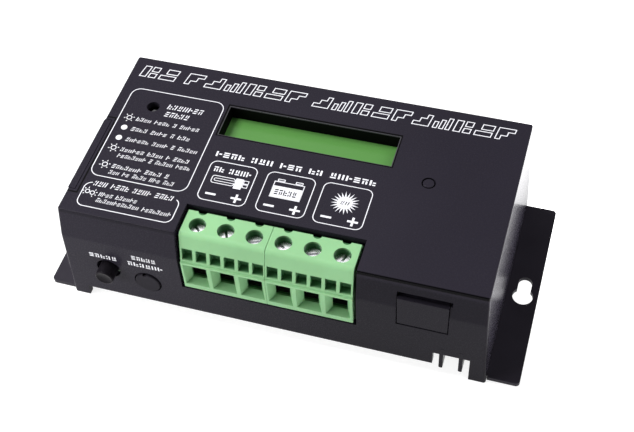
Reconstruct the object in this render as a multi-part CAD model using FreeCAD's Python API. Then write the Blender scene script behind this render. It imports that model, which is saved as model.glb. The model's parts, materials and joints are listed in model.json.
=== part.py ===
"""Charge controller in a moulded case on a flanged metal base plate.

Millimetres. +X runs along the case, the front with the wire terminals faces -Y, +Z is up.
The origin is on the underside of the base plate, midway between the keyholes and below the
middle of the top face's depth.
Depths behind the front top edge are written back(d): d is positive into the case.
"""
import FreeCAD
import Part
import math
import os

V = FreeCAD.Vector
X, Y, Z = V(1, 0, 0), V(0, 1, 0), V(0, 0, 1)

# ---------------------------------------------------------------- driving dimensions
TOP_W = 140.3            # width of the top face
CASE_X = -0.3            # middle of the case, along X
TOP_D = 72.0             # depth of the top face
CASE_H = 42.8            # height over the feet
SIDE_DRAFT = 0.0423      # outward slope of the side walls, per mm downwards
KNEE_Z = 31.2            # front and back walls lean out above this height
KNEE_OUT = 2.0           # how far they lean out
FRONT_DRAFT = 0.6        # and how much further out they stand at their feet
WALL = 2.2
ROOF = 2.4
KNEE_R = 6.0             # soft bend where the walls start to lean
EDGE_R = 0.35            # rounding of the top edges
CORNER_R = 0.8           # rounding of the upright corners
GAP = 0.25               # loose gap between a fitted piece and its hole

PLATE_T = 1.6
FLANGE_X = (-81.5, 82.15)     # ends of the plate
FLANGE_D = 72.95
FLANGE_SET = -0.775      # the plate's middle, along Y
PLATE_CORNER = 1.3
KEYHOLE_X, KEYHOLE_Y = 77.1, -3.3
KEYHOLE_HEAD_R = 3.4
KEYHOLE_SLOT_R = 2.25
KEYHOLE_DROP = 5.6       # head centre to slot centre
LIP_Z = (0.5, 7.5)       # the plate's folded lips behind the front and back walls
FRONT_LIP_HALF_W, BACK_LIP_HALF_W = 50.0, 58.0
SEAT_R, SEAT_DEEP = 2.9, 1.3             # countersinks in the underside
PLATE_HOLE_R = 1.6

LEFT_FOOT, RIGHT_FOOT = -66.5, 66.0      # inner side of each front foot
RAISED_Z = 4.7           # lower edge of the front wall between the feet
COMB_X = 54.1            # left end of the cable comb
COMB_TOP = 10.75
COMB_FLOOR = (50.2, 7.0)     # where the plate is cut away behind the comb: left end and depth
TOOTH_X = (56.85, 63.15)
TOOTH_W = 1.3
TOOTH_D = 4.4
TOOTH_Z = 3.0

POLES = 6
PITCH = 9.5
TERM_X = -0.45           # middle of the terminal row and of the cover's cut-out
BLOCK_POLES = 3
ROW_HALF_W = 28.6        # from the middle of the row to its end
BLOCK_SPLIT = 0.04       # each block stops this short of the row's middle
TERM_TOP = 41.9
TERM_FOOT = 17.4         # lower edge of the row where it shows in the cut-out
SCREW_BACK = 5.4         # screw axis behind the front top edge
SCREW_HOLE_R = 2.8
HEAD_R = 2.68
HEAD_TOP = 39.2
HEAD_T = 2.5
SHANK_R = 2.0
CAGE_TRAVEL = 3.5
FUNNEL_W, FUNNEL_Z0, FUNNEL_Z1 = 8.2, 19.4, 29.4
MOUTH_W, MOUTH_Z0, MOUTH_Z1 = 4.8, 20.2, 27.9      # the funnel's narrow inner end
THROAT_W, THROAT_Z0, THROAT_Z1 = 6.2, 18.5, 28.8   # the wider space behind it
FUNNEL_DEEP = 2.9
# slot angle of each terminal screw, left to right, in degrees from +X
SLOT_ANGLES = (140.0, 115.0, 24.0, 152.0, 20.0, 72.0)

CUT_W = 59.3             # cover cut-out over the terminals
CUT_BACK = 12.2
CUT_Z = 16.7

LCD_X = -0.7
LCD_BACK = 49.85
LCD_WIN_W, LCD_WIN_D = 59.8, 13.5
LCD_CHAMFER = 0.6
LCD_SINK = 5.4           # glass face below the top face

LED_X, LED_BACK, LED_HOLE_R = -56.4, 49.9, 2.25
KEY_X, KEY_BACK, KEY_R, KEY_HOLE_R = 42.35, 39.1, 1.85, 2.3
KEY_TRAVEL = 0.5
RESET_X, RESET_Z, RESET_R, RESET_HOLE_R = -56.25, 17.9, 3.15, 4.25
RESET_OUT = 4.3          # how far the button stands out of the wall
RESET_TRAVEL = 1.5
PLUG_X, PLUG_Z, PLUG_R, PLUG_HOLE_R = -42.5, 14.95, 4.35, 4.8
PLUG_STEM_R = 1.75
PLUG_OUT = 0.5
PLUG_NOTCH_ANGLE = 99.0      # where a fingernail lifts the plug, from +X

FRONT_BLANK = (42.15, 58.25, 22.6, 36.0)      # x0, x1, z0, z1
FRONT_BLANK_TOP_GAP = 1.9
FRONT_BLANK_SIDE_GAP = 0.9   # the gap over the blank runs this far past its right end
SIDE_BLANK = (9.25, 40.5, 24.3)               # back y0, back y1, z0
SIDE_BLANK_T = 2.5
SIDE_BLANK_PROUD = 0.4

BOARD_T = 1.6
MAIN_Z = 9.0             # underside of the main board
CARRIER_Z = 26.0         # underside of the display carrier board
LCD_BOARD_Z = 30.3       # underside of the display module's board

BOSSES = ((-62.8, -22.0), (62.8, -22.0), (-62.8, 28.0), (62.8, 28.0))
STANDOFFS = ((-52.0, 29.0), (52.0, 29.0), (-50.0, -12.0), (50.0, -12.0))
CARRIER_POSTS = ((-52.0, -14.0), (-52.0, 29.0), (47.0, -14.0), (47.0, 29.0))
LCD_POSTS = ((-38.2, -1.6), (36.4, -1.6), (-38.2, 29.4), (36.4, 29.4))
PAD_T = 0.3              # heat pad under the power transistors
MOSFET_X = (-24.0, -8.0, 8.0, 24.0)
MOSFET_T = 4.4
LEG_PITCH = 2.54
ABSORBER_X = (-42.0, -34.5)
DIODE_X = (-6.0, -16.0)
FUSE_X, FUSE_Y = 44.5, -22.25            # middle of the fuse and its holder
CLAMP_SCREWS = ((-36.0, 2.0), (36.0, 2.0))

# ---------------------------------------------------------------- derived places
FRONT = -TOP_D / 2
ROOF_IN = CASE_H - ROOF
WALL_Y = FRONT - KNEE_OUT                 # outer face of the front wall at its knee
WALL_IN_Y = WALL_Y + WALL
MAIN_TOP = MAIN_Z + BOARD_T
CARRIER_TOP = CARRIER_Z + BOARD_T
LCD_BOARD_TOP = LCD_BOARD_Z + BOARD_T
GLASS_TOP = CASE_H - LCD_SINK
POLE_X = [TERM_X + (i - (POLES - 1) / 2) * PITCH for i in range(POLES)]


def back(depth):
    """Y of a point at this depth behind the front top edge."""
    return FRONT + depth


def wall_y(z):
    """Y of the front wall's outer face at a height below its knee."""
    return WALL_Y - FRONT_DRAFT * (KNEE_Z - z) / KNEE_Z


# ---------------------------------------------------------------- plain shapes
def box(x0, x1, y0, y1, z0, z1):
    return Part.makeBox(x1 - x0, y1 - y0, z1 - z0, V(x0, y0, z0))


def rod(radius, length, start, axis=Z):
    return Part.makeCylinder(radius, length, start, axis)


def cone(r0, r1, length, start, axis=Z):
    return Part.makeCone(r0, r1, length, start, axis)


def prism(points, direction):
    """A closed outline of points, pushed along direction."""
    return Part.Face(Part.makePolygon(points + [points[0]])).extrude(direction)


def profile_x(points, x0, x1):
    """A (y, z) outline pushed from x0 to x1."""
    return prism([V(x0, y, z) for y, z in points], V(x1 - x0, 0, 0))


def frustum(lower, upper):
    """A block with straight sides between two rectangles of four corners each."""
    return Part.makeLoft([Part.makePolygon(c + [c[0]]) for c in (lower, upper)], True, True)


def edges_at(shape, test):
    """The straight or round edges whose middle point passes the test."""
    found = []
    for edge in shape.Edges:
        middle = edge.valueAt((edge.FirstParameter + edge.LastParameter) / 2)
        if test(middle, edge):
            found.append(edge)
    return found


def along(edge, axis):
    """Whether a straight edge runs along an axis."""
    if not isinstance(edge.Curve, (Part.Line, Part.LineSegment)):
        return False
    a, b = edge.Vertexes[0].Point, edge.Vertexes[-1].Point
    return abs((b - a).normalize().dot(axis)) > 0.98


def slab(x, y, width, depth, z0, z1):
    """A block by its middle in plan."""
    return box(x - width / 2, x + width / 2, y - depth / 2, y + depth / 2, z0, z1)


def rounded_block(x0, x1, y0, y1, z0, z1, radius):
    """A block with its four upright edges rounded."""
    body = box(x0, x1, y0, y1, z0, z1)
    return body.makeFillet(radius, edges_at(body, lambda m, e: along(e, Z)))


def rounded_rod(radius, length, start, axis, edge_r):
    """A cylinder with its far rim rounded."""
    body = rod(radius, length, start, axis)
    end = start + axis * length
    rim = edges_at(body, lambda m, e: e.Closed and abs((m - end).dot(axis)) < 0.01)
    return body.makeFillet(edge_r, rim)


def joined(pieces):
    body = pieces[0]
    if len(pieces) > 1:
        body = body.fuse(pieces[1:])
    return body.removeSplitter()


def group(pieces):
    """Separate solids kept together in one node."""
    return Part.makeCompound(pieces)


def side_x(z, side):
    """X of the case's outer side wall at a height; side is -1 on the left and 1 on the right."""
    return CASE_X + side * (TOP_W / 2 + SIDE_DRAFT * (CASE_H - z))


# ---------------------------------------------------------------- case
def case_solid(inset, roof, floor_z):
    """The case's outer form, or the space inside it, down to floor_z."""
    top = CASE_H - roof
    foot_y = -wall_y(floor_z) - inset
    knee_y = -WALL_Y - inset
    upper_y = TOP_D / 2 + KNEE_OUT * roof / (CASE_H - KNEE_Z) - inset
    outline = [(-foot_y, floor_z), (foot_y, floor_z), (knee_y, KNEE_Z),
               (upper_y, top), (-upper_y, top), (-knee_y, KNEE_Z)]
    reach = TOP_W
    ends = [V(side_x(z, side) - side * inset, -reach, z)
            for z, side in ((floor_z, -1), (floor_z, 1), (top, 1), (top, -1))]
    return profile_x(outline, -reach, reach).common(prism(ends, V(0, 2 * reach, 0)))


def outer_case():
    body = case_solid(0.0, 0.0, 0.0)
    knee = edges_at(body, lambda m, e: abs(m.z - KNEE_Z) < 0.01 and along(e, X))
    body = body.makeFillet(KNEE_R, knee)
    corners = edges_at(body, lambda m, e: 0.1 < m.z < CASE_H - 0.1 and not along(e, X))
    body = body.makeFillet(CORNER_R, corners)
    return body.makeFillet(EDGE_R, edges_at(body, lambda m, e: m.z > CASE_H - 0.1))


def lcd_window():
    """Window cut with a small bevel round its upper edge."""
    half_w, half_d, y = LCD_WIN_W / 2, LCD_WIN_D / 2, back(LCD_BACK)
    low = CASE_H - LCD_CHAMFER

    def ring(grow, z):
        x0, x1 = LCD_X - half_w - grow, LCD_X + half_w + grow
        y0, y1 = y - half_d - grow, y + half_d + grow
        return [V(x0, y0, z), V(x1, y0, z), V(x1, y1, z), V(x0, y1, z)]

    hole = box(LCD_X - half_w, LCD_X + half_w, y - half_d, y + half_d, LCD_BOARD_TOP, CASE_H + 1)
    bevel = frustum(ring(0.0, low), ring(2 * LCD_CHAMFER, CASE_H + LCD_CHAMFER))
    return hole.fuse(bevel)


def lcd_skirt():
    """Rib round the window that comes down to the display's bezel."""
    half_w, half_d, y, rib = LCD_WIN_W / 2, LCD_WIN_D / 2, back(LCD_BACK), 1.4
    low = GLASS_TOP + 0.7
    return box(LCD_X - half_w - rib, LCD_X + half_w + rib, y - half_d - rib, y + half_d + rib,
               low, ROOF_IN + 0.5)


def roof_posts():
    """Screw posts under the roof: places, radius, lower end, hole radius and hole depth."""
    return ((BOSSES, 3.2, PLATE_T, 1.5, 11.0), (CARRIER_POSTS, 2.4, CARRIER_TOP, 1.25, 6.0),
            (LCD_POSTS, 2.2, LCD_BOARD_TOP, 1.05, 4.0))


def cover_bosses():
    return [rod(radius, ROOF_IN + 0.5 - foot, V(x, y, foot))
            for places, radius, foot, _, _ in roof_posts() for x, y in places]


def boss_holes():
    return [rod(hole_r, depth + 1, V(x, y, foot - 1))
            for places, _, foot, hole_r, depth in roof_posts() for x, y in places]


def comb_opening():
    return box(COMB_X, RIGHT_FOOT, WALL_Y - 1, WALL_IN_Y + 0.1, -1, COMB_TOP)


def comb_teeth():
    """Teeth that split the comb's opening into three cable slots."""
    teeth = []
    y = wall_y(COMB_TOP)
    for x in TOOTH_X:
        tooth = box(x - TOOTH_W / 2, x + TOOTH_W / 2, y, y + TOOTH_D, TOOTH_Z, COMB_TOP + 3.0)
        tips = edges_at(tooth, lambda m, e: m.z < TOOTH_Z + 0.1 and along(e, Y))
        teeth.append(tooth.makeFillet(0.5, tips))
    return teeth


def front_blank_hole():
    x0, x1, z0, z1 = FRONT_BLANK
    hole = box(x0 - GAP, x1 + GAP, WALL_Y - 1, WALL_IN_Y + 3, z0 - GAP, z1 + FRONT_BLANK_TOP_GAP)
    gap = box(x0 - GAP, x1 + FRONT_BLANK_SIDE_GAP, WALL_Y - 1, WALL_IN_Y + 3, z1,
              z1 + FRONT_BLANK_TOP_GAP)
    return hole.fuse(gap)


def side_blank_hole():
    y0, y1, z0 = SIDE_BLANK
    x_in = side_x(CASE_H, -1) + SIDE_BLANK_T
    return box(side_x(0, -1) - 1, x_in, back(y0) - GAP, back(y1) + GAP, z0 - GAP, CASE_H + 1)


def top_cover():
    body = outer_case().cut(case_solid(WALL, ROOF, -1.0))
    # the side walls stand on the plate; the front feet and the back wall run down past it
    body = body.cut(box(-90, 90, back(0.5), FLANGE_D / 2 + FLANGE_SET + 0.1, -1, PLATE_T))
    body = body.cut(box(LEFT_FOOT, COMB_X + 0.01, WALL_Y - 1, WALL_IN_Y + 0.1, -1, RAISED_Z))
    body = body.cut(comb_opening())
    body = body.fuse(cover_bosses() + comb_teeth() + [lcd_skirt()])
    cuts = boss_holes() + [lcd_window(), front_blank_hole(), side_blank_hole()]
    cuts.append(box(TERM_X - CUT_W / 2, TERM_X + CUT_W / 2, WALL_Y - 3, back(CUT_BACK),
                    CUT_Z, CASE_H + 1))
    cuts.append(rod(LED_HOLE_R, 6.0, V(LED_X, back(LED_BACK), ROOF_IN - 2)))
    cuts.append(rod(KEY_HOLE_R, 6.0, V(KEY_X, back(KEY_BACK), ROOF_IN - 2)))
    cuts.append(rod(RESET_HOLE_R, 6.0, V(RESET_X, WALL_Y - 2, RESET_Z), Y))
    cuts.append(rod(PLUG_HOLE_R, 6.0, V(PLUG_X, WALL_Y - 2, PLUG_Z), Y))
    return body.cut(cuts).removeSplitter()


def base_plate():
    """Sheet tray: end flanges with keyholes, and lips along the front and back."""
    y0, y1 = FLANGE_SET - FLANGE_D / 2, FLANGE_SET + FLANGE_D / 2
    body = rounded_block(*FLANGE_X, y0, y1, 0, PLATE_T, PLATE_CORNER)
    comb_left, comb_deep = COMB_FLOOR
    cuts = [box(side_x(0, -1) - 0.08, side_x(0, 1) + 0.08, y0 - 1, WALL_IN_Y + 0.3, -1, 3),
            box(LEFT_FOOT - 0.4, RIGHT_FOOT + 0.4, y0 - 1, back(1.4), -1, 3),
            box(comb_left, RIGHT_FOOT + 0.4, y0 - 1, back(comb_deep), -1, 3)]
    for side in (-1, 1):
        head = V(side * KEYHOLE_X, KEYHOLE_Y, -1)
        slot = V(side * KEYHOLE_X, head.y + KEYHOLE_DROP, -1)
        cuts += [rod(KEYHOLE_HEAD_R, 4, head), rod(KEYHOLE_SLOT_R, 4, slot),
                 box(head.x - KEYHOLE_SLOT_R, head.x + KEYHOLE_SLOT_R, head.y, slot.y, -1, 3)]
    for x, y in BOSSES + CLAMP_SCREWS:
        cuts += [rod(PLATE_HOLE_R, 4, V(x, y, -1)), cone(SEAT_R, PLATE_HOLE_R, SEAT_DEEP, V(x, y, 0))]
    lips = [box(-FRONT_LIP_HALF_W, FRONT_LIP_HALF_W, back(1.4), back(1.4) + PLATE_T, *LIP_Z),
            box(-BACK_LIP_HALF_W, BACK_LIP_HALF_W, y1 - 1.2 - PLATE_T, y1 - 1.2, *LIP_Z)]
    return body.cut(cuts).fuse(lips).removeSplitter()


def front_blank():
    """Snap-in cover over an unused connector opening in the front."""
    x0, x1, z0, z1 = FRONT_BLANK
    face = box(x0, x1, WALL_Y - 0.05, WALL_IN_Y + 0.4, z0, z1)
    face = face.makeFillet(0.25, edges_at(face, lambda m, e: m.y < WALL_Y))
    flange = box(x0 - 1.2, x1 + 1.2, WALL_IN_Y + 0.1, WALL_IN_Y + 1.1, z0 - 1.2, KNEE_Z - 0.5)
    return joined([face, flange])


def side_blank():
    """Snap-in cover over an unused connector opening in the left side."""
    y0, y1, z0 = SIDE_BLANK
    edge = side_x(CASE_H, -1)
    x_out = edge - SIDE_BLANK_PROUD
    x_in = edge + SIDE_BLANK_T - GAP
    face = box(x_out, x_in, back(y0), back(y1), z0, CASE_H)
    face = face.makeFillet(0.5, edges_at(face, lambda m, e: m.x < x_out + 0.01))
    flange = box(x_in - 0.2, x_in + 1.2, back(y0) - 1.2, back(y1) + 1.2, z0 - 1.2, ROOF_IN - 0.2)
    slip = box(x_in - 0.3, edge + SIDE_BLANK_T + 0.05, back(y0) - 2, back(y1) + 2, z0 - 2, ROOF_IN)
    keep = box(x_in - 1, x_in + 3, back(y0), back(y1), z0, ROOF_IN)
    return joined([face, flange.cut(slip.cut(keep))])


# ---------------------------------------------------------------- screws
def countersunk_screws(places, length, radius):
    """Flat-headed cross-slot screws whose heads are flush with the underside."""
    head_r, head_t, slot_l, slot_w, slot_deep = 2.75, 1.2, 2.6, 0.56, 0.9
    screws = []
    for x, y in places:
        body = joined([cone(head_r, radius, head_t, V(x, y, 0.05)),
                       rod(radius, length, V(x, y, 0.1))])
        for across, deep in ((slot_l, slot_w), (slot_w, slot_l)):
            body = body.cut(slab(x, y, across, deep, -0.1, slot_deep))
        screws.append(body)
    return group(screws)


def pan_screws(places, seat_z, up, head_r, head_t, radius, length):
    """Pan-headed cross-slot screws; up is the side that the heads stand on."""
    slot_l, slot_w, slot_deep = head_r * 1.1, 0.5, 0.8
    screws = []
    for x, y in places:
        axis = Z * up
        head = rounded_rod(head_r, head_t, V(x, y, seat_z), axis, head_t * 0.4)
        body = joined([head, rod(radius, length + 0.2, V(x, y, seat_z + 0.2 * up), -axis)])
        top = seat_z + head_t * up
        z0, z1 = sorted((top, top - slot_deep * up))
        for across, deep in ((slot_l, slot_w), (slot_w, slot_l)):
            body = body.cut(slab(x, y, across, deep, z0, z1))
        screws.append(body)
    return group(screws)


# ---------------------------------------------------------------- wire terminals
CAGE_X = 3.3
CAGE_Y = (3.2, 8.9)          # behind the front top edge
CAGE_Z = (18.5, 32.0)
CHAMBER_X = 3.6
CHAMBER_Y = (2.9, 10.4)
CHAMBER_Z = (CAGE_Z[0] - 0.3, CAGE_Z[1] + CAGE_TRAVEL + 0.2)
CAGE_WALL = 0.8
CAGE_FLOOR = 1.4
CAGE_TOP_T = 2.0
BAR_Z = (28.0, 29.2)
BLOCK_BACK = 11.6
LEDGE_Z = 30.3
LEDGE_BACK = -KNEE_OUT - 0.2     # the ledge and the funnels start in front of the top edge
CREST_BACK = 10.7                # a low step runs behind the row's crest
STEP_Z = 39.9
NOTCH_R, NOTCH_BACK = 1.5, 11.0  # round notch behind each screw
WINDOW_W = 3.65
WINDOW_Z = (31.2, 35.9)


def face_back(z):
    """Depth of the terminal row's sloping upper front face at a height."""
    top_back, foot_back = 0.85, -1.6
    return top_back + (TERM_TOP - z) * (foot_back - top_back) / (TERM_TOP - LEDGE_Z)


def block_profile():
    """Side outline of a terminal block, as (y, z)."""
    foot = 0.7
    points = [(foot, MAIN_TOP), (BLOCK_BACK, MAIN_TOP), (BLOCK_BACK, STEP_Z), (CREST_BACK, STEP_Z),
              (CREST_BACK, TERM_TOP), (face_back(TERM_TOP), TERM_TOP), (face_back(LEDGE_Z), LEDGE_Z),
              (LEDGE_BACK, LEDGE_Z), (LEDGE_BACK, TERM_FOOT), (foot, TERM_FOOT)]
    return [(back(d), z) for d, z in points]


def wire_funnel(x):
    """Tapered wire mouth and the wider throat behind it."""
    front = back(LEDGE_BACK)

    def ring(half_w, z0, z1, y):
        return [V(x - half_w, y, z0), V(x + half_w, y, z0), V(x + half_w, y, z1), V(x - half_w, y, z1)]

    taper = frustum(ring(FUNNEL_W / 2, FUNNEL_Z0, FUNNEL_Z1, front),
                    ring(MOUTH_W / 2, MOUTH_Z0, MOUTH_Z1, front + FUNNEL_DEEP))
    throat = box(x - THROAT_W / 2, x + THROAT_W / 2, front + FUNNEL_DEEP - 0.1,
                 back(CHAMBER_Y[0]) + 0.1, THROAT_Z0, THROAT_Z1)
    return taper.fuse(throat)


def pole_cuts(x):
    """Everything hollow in one pole of a block."""
    axis_y = back(SCREW_BACK)
    cuts = [wire_funnel(x),
            box(x - CHAMBER_X, x + CHAMBER_X, back(CHAMBER_Y[0]), back(CHAMBER_Y[1]), *CHAMBER_Z),
            rod(SCREW_HOLE_R, 10.0, V(x, axis_y, HEAD_TOP - HEAD_T - 0.1)),
            rod(SHANK_R + 0.25, 3.0, V(x, axis_y, CHAMBER_Z[1] - 1)),
            rod(NOTCH_R, 4.0, V(x, back(NOTCH_BACK), STEP_Z)),
            box(x - 1.5, x + 1.5, back(9.25), back(10.35), MAIN_TOP - 1, CHAMBER_Z[0] + 1)]
    for step in (-1, 1):
        middle = x + step * PITCH / 4
        cuts.append(box(middle - WINDOW_W / 2, middle + WINDOW_W / 2, back(-3), back(1.4), *WINDOW_Z))
    return cuts


def terminal_block(first):
    """Moulded housing for three poles, counted from the left."""
    poles = POLE_X[first:first + BLOCK_POLES]
    side = -1 if first == 0 else 1
    x0, x1 = sorted((TERM_X + side * BLOCK_SPLIT, TERM_X + side * ROW_HALF_W))
    body = profile_x(block_profile(), x0, x1)
    crest = edges_at(body, lambda m, e: along(e, X) and abs(m.z - TERM_TOP) < 0.01
                     and m.y < back(5))
    body = body.makeFillet(2.0, crest)
    ends = edges_at(body, lambda m, e: m.z > TERM_FOOT + 0.1 and m.y < back(9)
                    and min(abs(m.x - x0), abs(m.x - x1)) < 0.01)
    body = body.makeFillet(0.2, [e for e in ends if e.Length > 0.6])
    for x in poles:
        body = body.cut(pole_cuts(x))
    return body.removeSplitter()


def terminal_screw(x, angle):
    """Slotted clamp screw, held in the housing by its head."""
    axis = V(x, back(SCREW_BACK), 0)
    head_z = HEAD_TOP - HEAD_T
    head = rounded_rod(HEAD_R, HEAD_T, axis + Z * head_z, Z, 0.35)
    shank = rod(SHANK_R, head_z - (BAR_Z[1] + 0.3) + 0.1, axis + Z * (BAR_Z[1] + 0.3))
    slot = box(-HEAD_R - 1, HEAD_R + 1, -0.42, 0.42, HEAD_TOP - 1.3, HEAD_TOP + 1)
    slot.rotate(V(0, 0, 0), Z, angle)
    slot.translate(axis)
    return joined([head, shank]).cut(slot)


def clamp_cage(x):
    """Rising box clamp with a threaded top; the wire lies on its floor."""
    y0, y1 = back(CAGE_Y[0]), back(CAGE_Y[1])
    z0, z1 = CAGE_Z
    body = box(x - CAGE_X, x + CAGE_X, y0, y1, z0, z1)
    body = body.makeFillet(0.5, edges_at(body, lambda m, e: along(e, Y)))
    inside = box(x - CAGE_X + CAGE_WALL, x + CAGE_X - CAGE_WALL, y0 - 1, y1 + 1,
                 z0 + CAGE_FLOOR, z1 - CAGE_TOP_T)
    thread = rod(SHANK_R + 0.05, 10, V(x, back(SCREW_BACK), z1 - CAGE_TOP_T - 1))
    body = body.cut([inside, thread])
    for step in (0.8, 2.3, 3.8):
        ridge = box(x - CAGE_X + CAGE_WALL, x + CAGE_X - CAGE_WALL, y0 + step, y0 + step + 0.6,
                    z0 + CAGE_FLOOR - 0.3, z0 + CAGE_FLOOR + 0.01)
        body = body.cut(ridge)
    return body


def terminal_pins():
    """Bar that each wire is clamped against, with its leg down into the board."""
    pins = []
    for x in POLE_X:
        bar = box(x - 2.2, x + 2.2, back(3.3), back(10.2), *BAR_Z)
        leg = box(x - 1.2, x + 1.2, back(9.4), back(10.2), MAIN_Z - 1.2, BAR_Z[1])
        pins.append(joined([bar, leg]))
    return group(pins)


# ---------------------------------------------------------------- controls
RESET_END = 1.7              # inner end of the button, behind the front top edge
RESET_PLUNGER_L = 3.4
RESET_SWITCH_FACE = 3.6
DISH_R = 9.0
DISH_DEEP = 0.45
KEY_FLANGE_Z = 39.3
KEY_STEM_END = 31.7
KEY_SWITCH_TOP = 31.1
KEY_PLUNGER_END = 30.8


def reset_button():
    """Push button with a shallow dished end, kept in by a flange behind the wall."""
    tip_y = wall_y(RESET_Z) - RESET_OUT
    end_y = back(RESET_END)
    start = V(RESET_X, end_y, RESET_Z)
    body = rounded_rod(RESET_R, end_y - tip_y, start, -Y, 0.45)
    dish = Part.makeSphere(DISH_R, V(RESET_X, tip_y - DISH_R + DISH_DEEP, RESET_Z))
    flange = rod(4.6, 1.0, V(RESET_X, back(0.7), RESET_Z), Y)
    return joined([body.cut(dish), flange])


def reset_plunger():
    return rod(1.6, RESET_PLUNGER_L, V(RESET_X, back(RESET_END), RESET_Z), Y)


def reset_switch():
    """Board-mounted reset switch with a guide hole for the plunger."""
    body = box(RESET_X - 4.4, RESET_X + 4.4, back(RESET_SWITCH_FACE), back(10.4), MAIN_TOP, RESET_Z + 5.6)
    body = body.makeFillet(0.4, edges_at(body, lambda m, e: along(e, Y) or along(e, Z)))
    mouth = RESET_SWITCH_FACE - 0.1
    floor = RESET_END + RESET_PLUNGER_L + RESET_TRAVEL + 0.5
    return body.cut(rod(1.66, floor - mouth, V(RESET_X, back(mouth), RESET_Z), Y))


def sensor_plug():
    """Dust plug in the temperature sensor's socket."""
    tip_y = wall_y(PLUG_Z) - PLUG_OUT
    disc = rounded_rod(PLUG_R, back(0.0) - tip_y, V(PLUG_X, back(0.0), PLUG_Z), -Y, 0.3)
    notch = box(PLUG_X + PLUG_R - 0.7, PLUG_X + PLUG_R + 1, tip_y - 1, tip_y + 1.2,
                PLUG_Z - 0.6, PLUG_Z + 0.6)
    notch.rotate(V(PLUG_X, 0, PLUG_Z), -Y, PLUG_NOTCH_ANGLE)
    stem = rounded_rod(PLUG_STEM_R, 10.5, V(PLUG_X, back(-0.1), PLUG_Z), Y, 0.6)
    return joined([disc.cut(notch), stem])


def sensor_jack():
    """Socket for the remote temperature sensor's plug."""
    body = box(PLUG_X - 4.5, PLUG_X + 4.5, back(1.2), back(13.0), MAIN_TOP, PLUG_Z + 4.2)
    body = body.makeFillet(0.4, edges_at(body, lambda m, e: along(e, Z)))
    collar = rod(3.4, 1.1, V(PLUG_X, back(0.2), PLUG_Z), Y)
    bore = rod(PLUG_STEM_R + 0.06, 12.0, V(PLUG_X, back(-0.5), PLUG_Z), Y)
    return joined([body, collar]).cut(bore)


def display_button():
    """Round key flush with the top face, with a stem down to its switch."""
    x, y = KEY_X, back(KEY_BACK)
    cap = rounded_rod(KEY_R, CASE_H - KEY_FLANGE_Z - 0.1, V(x, y, KEY_FLANGE_Z + 0.1), Z, 0.3)
    flange = rod(3.1, 1.0, V(x, y, KEY_FLANGE_Z))
    stem = rod(1.5, KEY_FLANGE_Z + 0.1 - KEY_STEM_END, V(x, y, KEY_STEM_END))
    return joined([cap, flange, stem])


def display_switch():
    x, y = KEY_X, back(KEY_BACK)
    body = rounded_block(x - 3.0, x + 3.0, y - 3.0, y + 3.0, CARRIER_TOP, KEY_SWITCH_TOP, 0.4)
    return body.cut(rod(1.75, 2.0, V(x, y, KEY_PLUNGER_END - KEY_TRAVEL - 0.1)))


def display_switch_plunger():
    return rod(1.7, KEY_STEM_END - KEY_PLUNGER_END, V(KEY_X, back(KEY_BACK), KEY_PLUNGER_END))


# ---------------------------------------------------------------- display
BEZEL_W, BEZEL_D = 71.0, 26.0
BEZEL_X = (LCD_X - BEZEL_W / 2, LCD_X + BEZEL_W / 2)
BEZEL_Y = (back(LCD_BACK) - BEZEL_D / 2, back(LCD_BACK) + BEZEL_D / 2)
GLASS_T = 2.2
LED_R, LED_FOOT, LED_DOME = 1.5, 35.0, 39.2


def lcd_bezel():
    """Black steel frame that holds the glass on its board."""
    half_w, half_d, y = LCD_WIN_W / 2 + 0.6, LCD_WIN_D / 2 + 0.6, back(LCD_BACK)
    top = GLASS_TOP + 0.6
    body = box(*BEZEL_X, *BEZEL_Y, LCD_BOARD_TOP, top)
    body = body.makeFillet(0.6, edges_at(body, lambda m, e: m.z > LCD_BOARD_TOP + 0.1))
    inside = box(BEZEL_X[0] + 0.6, BEZEL_X[1] - 0.6, BEZEL_Y[0] + 0.6, BEZEL_Y[1] - 0.6,
                 LCD_BOARD_TOP - 1, top - 0.6)
    window = box(LCD_X - half_w, LCD_X + half_w, y - half_d, y + half_d, LCD_BOARD_TOP, top + 1)
    return body.cut([inside, window])


def lcd_glass():
    return box(BEZEL_X[0] + 0.8, BEZEL_X[1] - 0.8, BEZEL_Y[0] + 3.0, BEZEL_Y[1] - 3.0,
               GLASS_TOP - GLASS_T, GLASS_TOP)


def lcd_backlight():
    return rounded_block(BEZEL_X[0] + 0.8, BEZEL_X[1] - 0.8, BEZEL_Y[0] + 0.8, BEZEL_Y[1] - 0.8,
                         LCD_BOARD_TOP, GLASS_TOP - GLASS_T, 0.5)


def lcd_board():
    width, depth = 79.4, 36.0
    body = slab(LCD_X - 0.3, back(LCD_BACK), width, depth, LCD_BOARD_Z, LCD_BOARD_TOP)
    holes = [rod(1.25, 4, V(x, py, LCD_BOARD_Z - 1)) for x, py in LCD_POSTS]
    return body.cut(holes)


def lcd_header():
    """Pin strip between the display module and the carrier board."""
    pins, pitch, half_d, y = 16, 2.54, 1.25, 4.0
    x0 = LCD_X - pins * pitch / 2
    strip = box(x0, x0 + pins * pitch, y - half_d, y + half_d, CARRIER_TOP, LCD_BOARD_Z)
    grooves = []
    for i in range(1, pins):
        x = x0 + pitch * i
        for side in (y - half_d, y + half_d):
            grooves.append(box(x - 0.2, x + 0.2, side - 0.25, side + 0.25,
                               CARRIER_TOP - 1, LCD_BOARD_Z + 1))
    return strip.cut(grooves)


def carrier_board():
    body = rounded_block(-58.0, 52.0, -20.5, 33.0, CARRIER_Z, CARRIER_TOP, 1.0)
    return body.cut([rod(1.35, 4, V(x, y, CARRIER_Z - 1)) for x, y in CARRIER_POSTS])


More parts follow.
